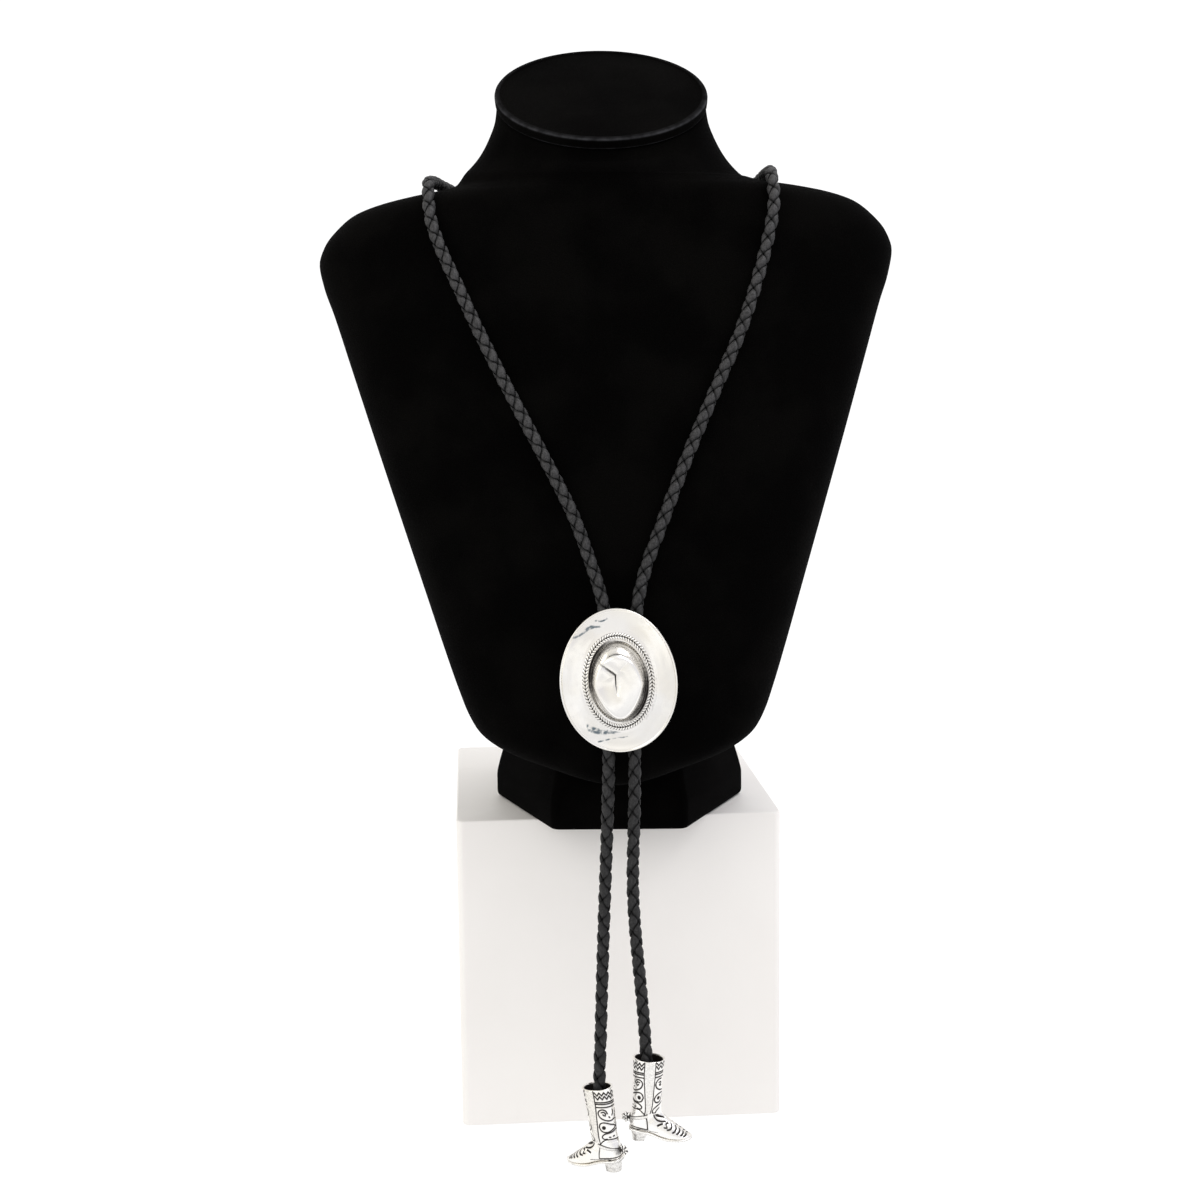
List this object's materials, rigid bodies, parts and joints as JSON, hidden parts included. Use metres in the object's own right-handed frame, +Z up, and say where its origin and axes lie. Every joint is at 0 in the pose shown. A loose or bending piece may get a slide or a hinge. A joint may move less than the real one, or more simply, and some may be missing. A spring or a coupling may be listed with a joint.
{
  "type": "bolo tie on a neck bust and display box",
  "caption": "Braided leather bolo tie with a cast hat slide and boot tips, hung on a plain velvet neck bust that stands on a plain box.",
  "frame": {"origin": "on the floor under the box, on the bust's centre line and level with the middle of the box's depth", "axes": "+Z up, the bust and the slide face -Y, the wearer's left is +X"},
  "size_m": [0.2241, 0.2064, 0.4283],
  "materials": {
    "velvet": "black velvet",
    "box_paint": "satin off-white",
    "braided_leather": "matte black braid",
    "antique_silver": "antique silver plate, dark in the recesses"
  },
  "bodies": {
    "root": {"display_box": "box_paint", "bust_foot": "velvet", "bust_torso": "velvet", "neck_cap": "velvet", "cord": "braided_leather", "hat_slide": "antique_silver", "slide_clasp": "antique_silver", "boot_left": "antique_silver", "boot_right": "antique_silver"}
  },
  "joints": []
}
